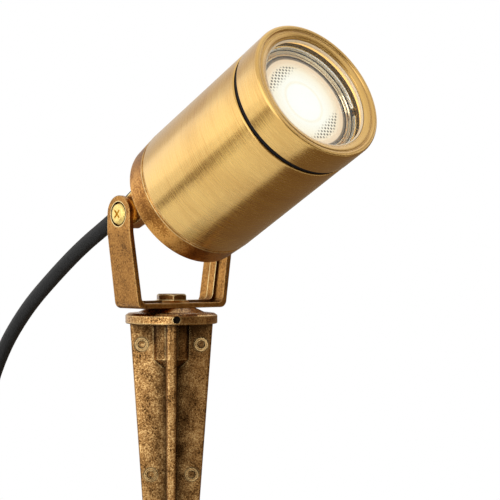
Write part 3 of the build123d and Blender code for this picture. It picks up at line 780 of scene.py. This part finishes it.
def spin(
    name: str,
    outline: Profile,
    steps: int = 160,
    segments: int = 4,
    start: float = 0.0,
    angle: float = math.tau,
) -> bpy.types.Object:
    """Turns a closed outline round the head's axis, with its corners rounded first.

    Args:
        name: the new object's name.
        outline: radius, height and rounding of each corner in millimetres, in order.
        steps: number of steps round the axis.
        segments: number of edges round each rounded corner.
        start: where the turn begins.
        angle: how far it goes; less than a whole turn has the outline's face at its two ends.

    Returns:
        The object, at the origin, with its place in its mesh.
    """
    whole = angle == math.tau
    mesh = bmesh.new()
    corners = [mesh.verts.new((r * MM, 0, z * MM)) for r, z, _ in outline]
    mesh.faces.new(corners)
    for corner, (_, _, rounding) in zip(corners, outline):
        if rounding:
            bmesh.ops.bevel(
                mesh,
                geom=[corner],
                offset=rounding * MM,
                offset_type="OFFSET",
                affect="VERTICES",
                segments=segments,
                profile=0.5,
                material=-1,
            )
    if whole:
        bmesh.ops.delete(mesh, geom=list(mesh.faces), context="FACES_ONLY")
        # the edge that lies on the axis would only turn about itself
        inner = [edge for edge in mesh.edges if max(vertex.co.x for vertex in edge.verts) < 1e-7]
        bmesh.ops.delete(mesh, geom=inner, context="EDGES_FACES")
    turned = Matrix.Rotation(start, 3, "Z")
    bmesh.ops.rotate(mesh, cent=(0, 0, 0), matrix=turned, verts=mesh.verts)
    bmesh.ops.spin(
        mesh,
        geom=[*mesh.verts, *mesh.edges, *mesh.faces],
        cent=(0, 0, 0),
        axis=(0, 0, 1),
        angle=angle,
        steps=steps,
        use_merge=whole,
        use_duplicate=False,
    )
    bmesh.ops.remove_doubles(mesh, verts=mesh.verts, dist=1e-6)
    bmesh.ops.recalc_face_normals(mesh, faces=mesh.faces)
    bmesh.ops.transform(mesh, matrix=head_matrix(), verts=mesh.verts)
    return finish_mesh(mesh, name)


# ------------------------------------------------------------------------------ turned pieces
@dataclass
class TurnedGroup:
    """New pieces on one body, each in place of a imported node."""

    body: ClassVar[str]
    finishes: Finishes = field(repr=False)

    def fit(self, piece: bpy.types.Object, node: str, slot: str, *names: Finish) -> None:
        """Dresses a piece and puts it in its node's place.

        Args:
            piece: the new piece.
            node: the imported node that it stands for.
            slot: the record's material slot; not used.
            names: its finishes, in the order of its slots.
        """
        self.finishes.dress(piece, *names)
        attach(piece, self.body)
        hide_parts(node)
        log.info("%s: stands for %s", piece.name, node)


@dataclass
class TurnedBody(TurnedGroup):
    """The brass tube between the rear cap and the bezel."""

    body = "head"
    radius: float = 31.5
    bore: float = 27.5
    back: float = 23.9
    front: float = 92.8

    def build(self) -> None:
        """Turns the tube with its eased ends and seats."""
        outline = [
            (self.bore + 0.48, self.back, 0.0),
            (self.radius - 0.9, self.back, 0.0),
            (self.radius - 0.9, self.back + 0.55, 0.0),
            (self.radius - 0.75, self.back + 0.55, 0.1),
            (self.radius, self.back + 1.15, 0.3),
            (self.radius, self.front - 0.45, 0.2),
            (self.radius - 0.45, self.front, 0.15),
            (self.bore + 1.48, self.front, 0.1),
            (self.bore + 1.48, 85.1, 0.1),
            (self.bore, 83.7, 0.1),
            (self.bore, 35.6, 0.1),
            (self.bore + 0.48, 35.2, 0.1),
        ]
        self.fit(spin("head_tube", outline), "body_tube", "brass_satin", Finish.TURNED_BRASS)


@dataclass
class Bezel(TurnedGroup):
    """The screwed front ring and what it holds: gasket, glass, O-ring and retaining ring."""

    body = "bezel"
    radius: float = 31.6
    front: float = 109.0
    mouth: float = 25.6
    bore: float = 26.5
    thread: float = 28.9
    back: float = 86.3
    groove: float = 27.5
    groove_back: float = 98.35
    groove_front: float = 100.5
    glass_radius: float = 26.3
    glass_back: float = 101.8
    glass_front: float = 105.8
    gap_turn: float = math.radians(-12)
    gap_angle: float = math.radians(9)

    def ring(self) -> bpy.types.Object:
        """Turns the ring: a rolled outer edge, a groove, a step and the lip over the glass.

        Returns:
            The ring.
        """
        outline = [
            (self.radius, 108.1, 0.35),
            (self.radius - 0.25, 108.7, 0.3),
            (self.radius - 0.8, self.front, 0.3),
            (29.8, self.front, 0.25),
            (29.35, 108.7, 0.15),
            (29.0, 108.15, 0.12),
            (28.65, 108.15, 0.12),
            (28.4, 108.4, 0.1),
            (27.9, 108.4, 0.2),
            (27.3, 108.2, 0.2),
            (26.3, 107.75, 0.2),
            (26.05, 107.4, 0.1),
            (self.mouth, 107.2, 0.1),
            (self.mouth, 106.4, 0.0),
            (self.bore, 106.4, 0.0),
            (self.bore, self.groove_front, 0.0),
            (self.groove, self.groove_front, 0.0),
            (self.groove, self.groove_back, 0.0),
            (self.bore, self.groove_back, 0.15),
            (self.bore, self.back, 0.15),
            (28.4, self.back, 0.1),
            (self.thread, 86.8, 0.1),
            (self.thread, 92.2, 0.1),
            (28.2, 92.8, 0.1),
            (28.2, 94.8, 0.1),
            (31.15, 94.8, 0.12),
            (self.radius, 95.25, 0.2),
        ]
        return spin("front_ring", outline, steps=192)

    def gasket(self) -> bpy.types.Object:
        """Turns the pale gasket that seals the lip on the glass.

        Returns:
            The gasket.
        """
        outline = [
            (24.8, 105.85, 0.0),
            (26.3, 105.85, 0.1),
            (26.3, 106.35, 0.0),
            (25.55, 106.35, 0.0),
            (25.55, 107.0, 0.15),
            (25.1, 107.0, 0.2),
            (24.8, 106.65, 0.2),
        ]
        return spin("front_gasket", outline)

    def glass(self) -> bpy.types.Object:
        """Cuts the glass disc, with its rim and arrises ground.

        Returns:
            The disc.
        """
        arris = 0.4
        outline = [
            (0.0, self.glass_back, 0.0),
            (self.glass_radius - arris, self.glass_back, 0.0),
            (self.glass_radius, self.glass_back + arris, 0.0),
            (self.glass_radius, self.glass_front - arris, 0.0),
            (self.glass_radius - arris, self.glass_front, 0.0),
            (0.0, self.glass_front, 0.0),
        ]
        return spin("front_glass", outline)

    def seal(self) -> bpy.types.Object:
        """Turns the black O-ring between the glass and the retaining ring.

        Returns:
            The O-ring.
        """
        section = [(25.75, 100.5), (26.48, 100.5), (26.48, 101.75), (25.75, 101.75)]
        return spin("front_oring", [(*corner, 0.3) for corner in section])

    def retaining_ring(self) -> bpy.types.Object:
        """Bends the sprung ring that holds the glass, open between its two ends.

        Returns:
            The retaining ring.
        """
        section = [(24.4, 98.65), (27.2, 98.65), (27.2, 100.4), (24.4, 100.4)]
        return spin(
            "retaining_ring",
            [(*corner, 0.2) for corner in section],
            steps=150,
            segments=3,
            start=self.gap_turn + self.gap_angle / 2,
            angle=math.tau - self.gap_angle,
        )

    def grind_rim(self, disc: bpy.types.Object) -> None:
        """Gives the glass's rim and arrises its second finish.

        Args:
            disc: the glass, with both finishes in its slots.
        """
        beam = head_matrix().to_3x3() @ Vector((0, 0, 1))
        for polygon in disc.data.polygons:
            polygon.material_index = int(abs(polygon.normal.dot(beam)) < 0.9)

    def build(self) -> None:
        """Builds and dresses the bezel's pieces."""
        self.fit(self.ring(), "bezel_ring", "brass_satin", Finish.TURNED_BRASS)
        self.fit(self.gasket(), "glass_gasket", "silicone_clear", Finish.GASKET)
        glass = self.glass()
        self.fit(glass, "glass_disc", "glass_clear", Finish.GLASS, Finish.GLASS_RIM)
        self.grind_rim(glass)
        self.fit(self.seal(), "glass_oring", "rubber_black", Finish.NITRILE)
        self.fit(self.retaining_ring(), "snap_ring", "spring_steel", Finish.SPRING_STEEL)


@dataclass
class LampFront(TurnedGroup):
    """What shows of the lamp through the glass: its turned ring and its moulded optic."""

    body = "lamp"
    ring_radius: float = 25.0
    ring_bore: float = 22.0
    optic_radius: float = 21.65
    back: float = 95.25

    def ring(self) -> bpy.types.Object:
        """Turns the ring round the optic, with its two beads and the channel between them.

        Returns:
            The ring.
        """
        outline = [
            (self.ring_bore, self.back, 0.0),
            (self.ring_radius, self.back, 0.15),
            (self.ring_radius, 97.7, 0.3),
            (24.5, 98.2, 0.2),
            (24.1, 98.2, 0.2),
            (23.8, 97.6, 0.15),
            (23.0, 97.6, 0.15),
            (22.7, 98.0, 0.15),
            (22.2, 98.0, 0.1),
            (self.ring_bore, 97.7, 0.1),
        ]
        return spin("lamp_ring", outline)

    def optic(self) -> bpy.types.Object:
        """Turns the optic: a raised flange round a shallow lens.

        Returns:
            The optic.
        """
        outline = [
            (0.0, 94.2, 0.0),
            (self.optic_radius, 95.3, 0.0),
            (self.optic_radius, 97.3, 0.15),
            (18.6, 97.3, 0.2),
            (18.2, 96.9, 0.15),
            (12.0, 97.1, 0.0),
            (0.0, 97.2, 0.0),
        ]
        return spin("lamp_optic", outline, steps=128)

    def build(self) -> None:
        """Builds and dresses the lamp's front."""
        self.fit(self.ring(), "lamp_front_ring", "lamp_chrome", Finish.LAMP_RING)
        self.fit(self.optic(), "lamp_lens", "lamp_optic", Finish.OPTIC)


# ------------------------------------------------------------------------------ the cord
@dataclass
class FlyingLead:
    """The black lead: a free run from the gland's sleeve and a coil of what is left."""

    finishes: Finishes = field(repr=False)
    sleeve_end: float = -30.0 * MM
    straight: float = 16.0 * MM
    bending: float = 80.0 * MM
    centre_line: float = 1.15 * MM + CORD_RADIUS - GROUND_SPIKE_LENGTH
    coil_x: float = -27.0 * MM
    coil_y: float = 103.0 * MM
    coil_radius: float = 49.0 * MM
    pitch: float = 7.9 * MM
    half_turns: int = 8
    half_turn_points: int = 8

    def route(self) -> list[Vector]:
        """Control points of the free run, as the cord's tube has them.

        Returns:
            The points, from the gland's sleeve to the coil.
        """
        places = [
            (0.4, 69.5, 35.6),
            (1.0, 92.0, 22.7),
            (3.0, 124.0, 3.2),
            (6.0, 153.0, -21.3),
            (10.0, 176.0, -53.8),
            (14.5, 188.0, -93.8),
            (18.5, 190.0, -134.8),
            (20.5, 185.0, -172.8),
            (22.0, 166.0, -204.8),
        ]
        run = [
            head_matrix() @ Vector((0, GLAND_HEIGHT, self.sleeve_end - further))
            for further in (0.0, self.straight)
        ]
        run += [Vector(place) * MM for place in places]
        run.append(Vector((22 * MM, 134 * MM, self.centre_line)))
        return run

    def coil(self) -> list[Vector]:
        """Control points of the put-away turns: in on the floor, up, and out on top.

        Returns:
            The points, in order along the cord.
        """
        centre = Vector((self.coil_x, self.coil_y, self.centre_line))
        step = self.pitch / 2
        middle = self.half_turns // 2
        parts = self.half_turn_points
        # control points stand outside the round that the spline makes of them
        outside = 1 / math.cos(math.pi / parts / 2)
        points = []
        for index in range(self.half_turns + 1):
            radius = (self.coil_radius - step * min(index, self.half_turns - index)) * outside
            shift = step * (index % 2) * (-1 if index <= middle else 1)
            # the last half turn stops half way, where the bared cores begin
            count = parts // 2 + 1 if index == self.half_turns else parts
            for part in range(count):
                angle = -math.pi * (index + part / parts)
                height = self.pitch if index > middle else 0.0
                if index == middle:
                    height = self.pitch * (0.5 - 0.5 * math.cos(math.pi * part / parts))
                x, y = shift + radius * math.cos(angle), radius * math.sin(angle)
                points.append(centre + Vector((x, y, height)))
        return points

    def curve_mesh(self, name: str, points: list[Vector], bevel: float) -> bpy.types.Object:
        """Makes a mesh object of a smooth NURBS curve along control points.

        Args:
            name: the object's name.
            points: the control points.
            bevel: the tube's radius, or 0 for a bare line.

        Returns:
            The linked mesh object.
        """
        data = bpy.data.curves.new(name, "CURVE")
        data.dimensions = "3D"
        data.resolution_u = 6
        data.bevel_depth = bevel
        data.bevel_resolution = 6
        data.use_fill_caps = bevel > 0
        spline = data.splines.new("NURBS")
        spline.points.add(len(points) - 1)
        for point, place in zip(spline.points, points):
            point.co = (*place, 1.0)
        spline.order_u = 3
        spline.use_endpoint_u = True
        curve = linked(name + "_curve", data)
        bpy.context.view_layer.update()
        graph = bpy.context.evaluated_depsgraph_get()
        mesh = bpy.data.meshes.new_from_object(curve.evaluated_get(graph), depsgraph=graph)
        mesh.name = name
        bpy.data.objects.remove(curve)
        return linked(name, mesh)

    def build(self) -> None:
        """Builds the lead as one tube from the gland's sleeve to the coil."""
        points = self.route() + self.coil()
        line = self.curve_mesh("lead_line", points, 0.0)
        bpy.data.objects.remove(line)
        tube = self.curve_mesh("flying_lead", points, CORD_RADIUS)
        for polygon in tube.data.polygons:
            polygon.use_smooth = True
        self.finishes.dress(tube, Finish.SHEATH)
        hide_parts("cord_tube", "cord_coil")
        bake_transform(tube)


# ------------------------------------------------------------------------------ the CAD pieces
@dataclass
class Carried:
    """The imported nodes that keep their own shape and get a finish."""

    nodes: dict[str, bpy.types.Object] = field(repr=False)
    finishes: Finishes = field(repr=False)
    wearing: tuple[tuple[Finish, str], ...] = (
        (Finish.SPIKE_BRASS, "spike"),
        (Finish.BLACK_STEEL, "grub_screw"),
        (Finish.BRASS_BOLT, "hex_bolt"),
        (Finish.CAST_BRASS, "yoke"),
        (Finish.CAP_BRASS, "rear_cap"),
        (Finish.BRASS_SCREW, "pivot_screws pivot_washers gland_body gland_nut earth_screw"),
        (Finish.NITRILE, "cap_oring bezel_seal gland_washer gland_seal gland_sleeve"),
        (Finish.STEATITE, "lampholder"),
        (Finish.NICKEL, "contact_clips lamp_pins"),
        (Finish.STAINLESS, "holder_bracket holder_screws bracket_screws terminal_screws"),
        (Finish.NYLON_WHITE, "terminal_block lamp_base"),
        (Finish.GLASS_FIBRE, "holder_leads"),
        (Finish.SHEATH, "cable_entry"),
        (Finish.CORE_BROWN, "inner_cores cord_cores"),
        (Finish.CORE_EARTH, "earth_lead"),
        (Finish.ALUMINIUM, "lamp_housing"),
        (Finish.SOLDER_MASK, "light_board"),
        (Finish.NYLON_BLACK, "coil_ties"),
    )

    def dress(self) -> None:
        """Gives every node its finish."""
        for finish, names in self.wearing:
            for name in names.split():
                self.finishes.dress(self.nodes[name], finish)
                log.info("%s: %s", name, finish.value)


# ------------------------------------------------------------------------------ the studio
@dataclass(frozen=True)
class Card:
    """A card that only shows in reflections, as in a product studio.

    Its lit side faces a direction, and its width lies along another, or level if none is given.
    """

    name: str
    place: Spot
    size: tuple[float, float]
    faces: Spot
    light: float
    colour: str = "#FFFFFF"
    along: Spot | None = None


@dataclass(frozen=True)
class SoftLamp:
    """A soft rectangular lamp: metres for its place and size, watts for its power."""

    name: str
    place: Spot
    size: tuple[float, float]
    power: float


@dataclass
class Studio:
    """Pale floor, white surround, soft lamps, cards and the camera."""

    floor_z: float = -GROUND_SPIKE_LENGTH
    floor_radius: float = 0.85
    fade_from: float = 0.22
    surround_light: float = 0.42
    # the photograph's view: degrees round, up and rolled, then metres back, right and down
    camera_angles: Spot = (-41.1207, -0.1287, 0.0969)
    camera_place: Spot = (0.74377, 0.035705, 0.015866)
    lens_mm: float = 117.57
    lamps_aim: Spot = (0, -0.03, 0.05)
    lamps: tuple[SoftLamp, ...] = (
        SoftLamp("key_left", (-1.0, -0.25, 0.75), (0.7, 0.7), 9.0),
        SoftLamp("top_back", (-0.15, 0.9, 0.7), (0.9, 0.5), 7.0),
        SoftLamp("fill_front", (0.1, -1.4, 0.5), (1.0, 1.0), 5.0),
    )
    cards: tuple[Card, ...] = (
        Card("card_left", (-0.899, -0.235, 0.18), (1.17, 0.78), (1, 0, 0), 2.0),
        Card("card_front_left", (-0.8, -0.86, 0.18), (0.24, 0.78), (0.44, 0.9, 0), 1.6),
        Card("card_back_left", (-0.525, 0.6, 0.235), (0.845, 0.47), (0.639, -0.769, 0), 1.4),
        Card("card_back", (0.179, 0.882, 0.55), (0.78, 0.82), (-0.2, -0.98, 0), 0.7, "#FFF2E2"),
        Card("card_right", (0.85, 0, 0.04), (1.7, 0.53), (-1, 0, 0), 0.24, AMBER_WHITE),
        Card("card_front_right", (0.115, -0.886, 0.06), (1.59, 0.75), (0, 1, 0), 0.18, AMBER_WHITE),
        Card(
            "card_floor_right",
            (0.41, 0.175, -0.226),
            (0.88, 1.35),
            (0, 0, 1),
            0.2,
            "#FFD8A8",
            along=(1, 0, 0),
        ),
        # the glass shows this one, dimmer than the surround
        Card(
            "card_high_right",
            (0.66, -0.54, 0.72),
            (0.3, 0.3),
            (-0.6577, 0.4356, -0.616),
            0.4,
            "#FFF2E6",
            along=(0.552, 0.834, 0),
        ),
        # these two make the dark streaks along the lower side of the bezel and the body
        Card(
            "card_streak_front",
            (-0.3, 0.094, -0.097),
            (0.05, 0.06),
            (0.75, -0.46, 0.48),
            0.15,
            AMBER_WHITE,
            along=(-0.606, -0.77, 0.202),
        ),
        Card(
            "card_streak",
            (-0.44, 0.236, -0.13),
            (0.34, 0.1),
            (0.8, -0.6, 0),
            0.2,
            AMBER_WHITE,
            along=(-0.553, -0.755, 0.351),
        ),
    )

    def camera(self) -> None:
        """Stands the camera where the photograph was taken from."""
        turn, lift, roll = (math.radians(angle) for angle in self.camera_angles)
        away, aside, below = self.camera_place
        upright = Matrix.Rotation(turn, 4, "Z") @ Matrix.Rotation(math.pi / 2 - lift, 4, "X")
        turned = upright @ Matrix.Rotation(roll, 4, "Z")
        moved = Matrix.Translation((aside, -below, away))
        data = bpy.data.cameras.new("camera")
        data.sensor_width = 36.0
        data.lens = self.lens_mm
        data.clip_start = 0.01
        data.clip_end = 50.0
        camera = linked("camera", data)
        camera.matrix_world = Matrix.Translation((0, 0, PIVOT_Z)) @ turned @ moved
        bpy.context.scene.camera = camera

    def world(self) -> None:
        """White for what the camera, metal and glass see, and soft for what lights the object."""
        world = bpy.data.worlds.new("surround")
        bpy.context.scene.world = world
        world.use_nodes = True
        world.node_tree.nodes.clear()
        add = partial(add_node, world.node_tree)
        shown = any_ray(add, "Is Camera Ray", "Is Transmission Ray", "Is Glossy Ray")
        strength = add("MapRange", {"range": (0.0, 1.0, self.surround_light, 1.0)}, {0: shown})
        back = add("Background", {"Color": "#FFFFFF"}, {"Strength": strength})
        add("OutputWorld", links={"Surface": back})

    def floor(self) -> None:
        """Lays a round pale floor that melts into the white surround."""
        mesh = bmesh.new()
        bmesh.ops.create_circle(mesh, cap_ends=True, radius=self.floor_radius, segments=96)
        bmesh.ops.translate(mesh, vec=(0, 0, self.floor_z), verts=mesh.verts)
        floor = finish_mesh(mesh, "studio_floor")
        material, add = fresh_material("studio_floor_pale")
        _, reach = across_axis(add, (add("TexCoord"), "Object"))
        fade = add(
            "MapRange",
            {
                "interpolation_type": "SMOOTHSTEP",
                "range": (self.fade_from, self.floor_radius * 0.95, 0.0, 1.0),
            },
            {0: reach},
        )
        paint = add("BsdfDiffuse", {"Color": "#EDEDEB"})
        white = add("Emission", {"Strength": 1.0})
        looked = any_ray(add, "Is Camera Ray", "Is Transmission Ray")
        share = add("Math", {"operation": "MULTIPLY"}, {0: fade, 1: looked})
        mix = add("MixShader", links={0: share, 1: paint, 2: white})
        add("OutputMaterial", links={"Surface": mix})
        floor.data.materials.append(material)

    def hang(self, lamp: SoftLamp) -> None:
        """Hangs one lamp so that it faces the head; metal sees the cards instead.

        Args:
            lamp: the lamp.
        """
        data = bpy.data.lights.new(lamp.name, "AREA")
        data.shape = "RECTANGLE"
        data.size, data.size_y = lamp.size
        data.energy = lamp.power
        light = linked(lamp.name, data)
        light.location = lamp.place
        aim = Vector(self.lamps_aim) - Vector(lamp.place)
        light.rotation_mode = "QUATERNION"
        light.rotation_quaternion = aim.to_track_quat("-Z", "Y")
        light.visible_glossy = False

    def stand(self, card: Card) -> None:
        """Stands one card.

        Args:
            card: the card.
        """
        level = (card.faces[1], -card.faces[0], 0)
        across, faces = Vector(card.along or level).normalized(), Vector(card.faces).normalized()
        turned = Matrix((across, faces.cross(across), faces)).transposed().to_4x4()
        mesh = bmesh.new()
        bmesh.ops.create_grid(mesh, x_segments=1, y_segments=1, size=0.5)
        bmesh.ops.scale(mesh, vec=(*card.size, 1), verts=mesh.verts)
        bmesh.ops.transform(mesh, matrix=Matrix.Translation(card.place) @ turned, verts=mesh.verts)
        piece = finish_mesh(mesh, card.name)
        material, add = fresh_material(card.name + "_paper")
        glow = add("Emission", {"Color": card.colour, "Strength": card.light})
        add("OutputMaterial", links={"Surface": glow})
        piece.data.materials.append(material)
        piece.visible_camera = piece.visible_diffuse = piece.visible_shadow = False
        piece.visible_transmission = piece.visible_volume_scatter = False

    def build(self) -> None:
        """Builds the studio."""
        self.camera()
        self.world()
        self.floor()
        for lamp in self.lamps:
            self.hang(lamp)
        for card in self.cards:
            self.stand(card)
        bpy.context.scene.view_settings.view_transform = "Standard"
        log.info("studio: camera, floor, surround, lamps and %d cards", len(self.cards))


def main() -> None:
    """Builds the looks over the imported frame."""
    logging.basicConfig(level=logging.INFO, format="%(name)s: %(message)s")
    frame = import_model()
    finishes = Finishes()
    Studio().build()
    FlyingLead(finishes).build()
    TurnedBody(finishes).build()
    Bezel(finishes).build()
    LampFront(finishes).build()
    Carried(frame["nodes"], finishes).dress()


if __name__ == "__main__":
    main()
